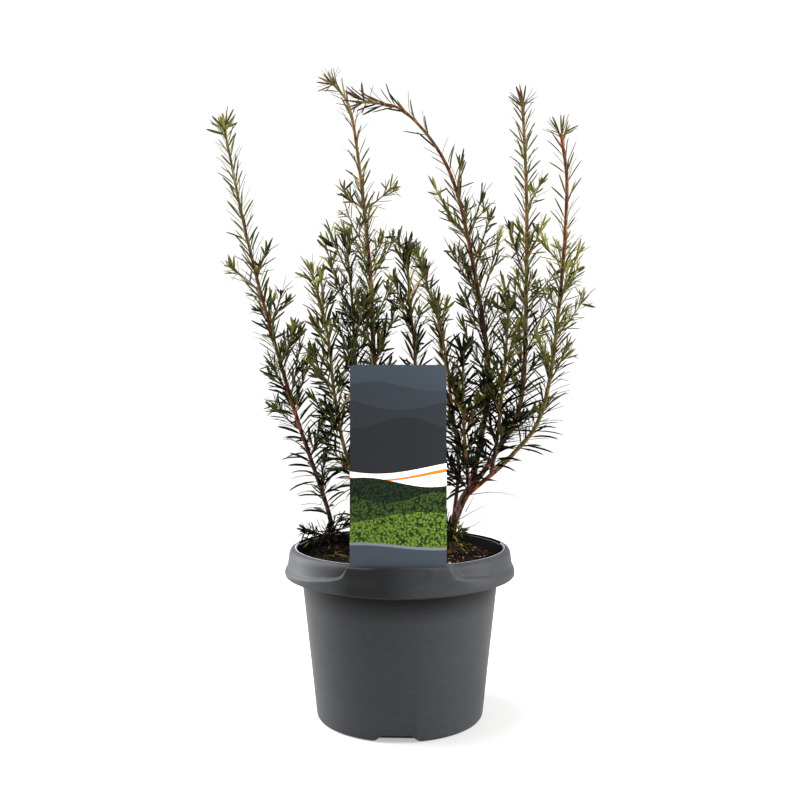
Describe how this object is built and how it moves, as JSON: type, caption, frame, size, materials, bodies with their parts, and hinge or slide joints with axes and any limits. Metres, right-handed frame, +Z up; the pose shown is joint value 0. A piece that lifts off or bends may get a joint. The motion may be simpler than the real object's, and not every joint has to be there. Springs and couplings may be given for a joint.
{
  "type": "potted groenland yew",
  "caption": "Young evergreen yew shrub with upright needled leaders, standing in a round nursery pot with soil and a plain plant label in its rim.",
  "frame": {"origin": "middle of the pot's flat underside, on the surface that it stands on", "axes": "+Z up along the pot's axis, -Y towards the side with the label, +X to the right seen from there"},
  "size_m": [0.3147, 0.2042, 0.5608],
  "materials": {
    "pot_plastic": "satin moulded polypropylene, charcoal grey",
    "potting_soil": "damp peat and bark crumbs, dark brown",
    "label_card": "printed plastic card, satin",
    "bark": "flaky red-brown bark",
    "yew_needles": "leathery needles, satin, dark green above and yellow-green at the tips"
  },
  "bodies": {
    "root": {"pot": "pot_plastic", "soil": "potting_soil", "label": "label_card", "trunk_right": "bark", "trunk_middle": "bark", "stem_left": "bark", "bough_tall": "bark", "bough_back": "bark", "bough_front_left": "bark", "bough_short": "bark", "bough_thin": "bark", "bough_arching": "bark", "bough_upright": "bark", "bough_right": "bark", "needles_left": "yew_needles", "needles_tall": "yew_needles", "needles_back": "yew_needles", "needles_front_left": "yew_needles", "needles_short": "yew_needles", "needles_thin": "yew_needles", "needles_arching": "yew_needles", "needles_arching_tip": "yew_needles", "needles_upright": "yew_needles", "needles_right": "yew_needles", "needles_front": "yew_needles", "needles_inner": "yew_needles", "sprig_foot_left": "yew_needles", "sprig_foot_right": "yew_needles", "sprig_foot_back": "yew_needles"}
  },
  "joints": []
}
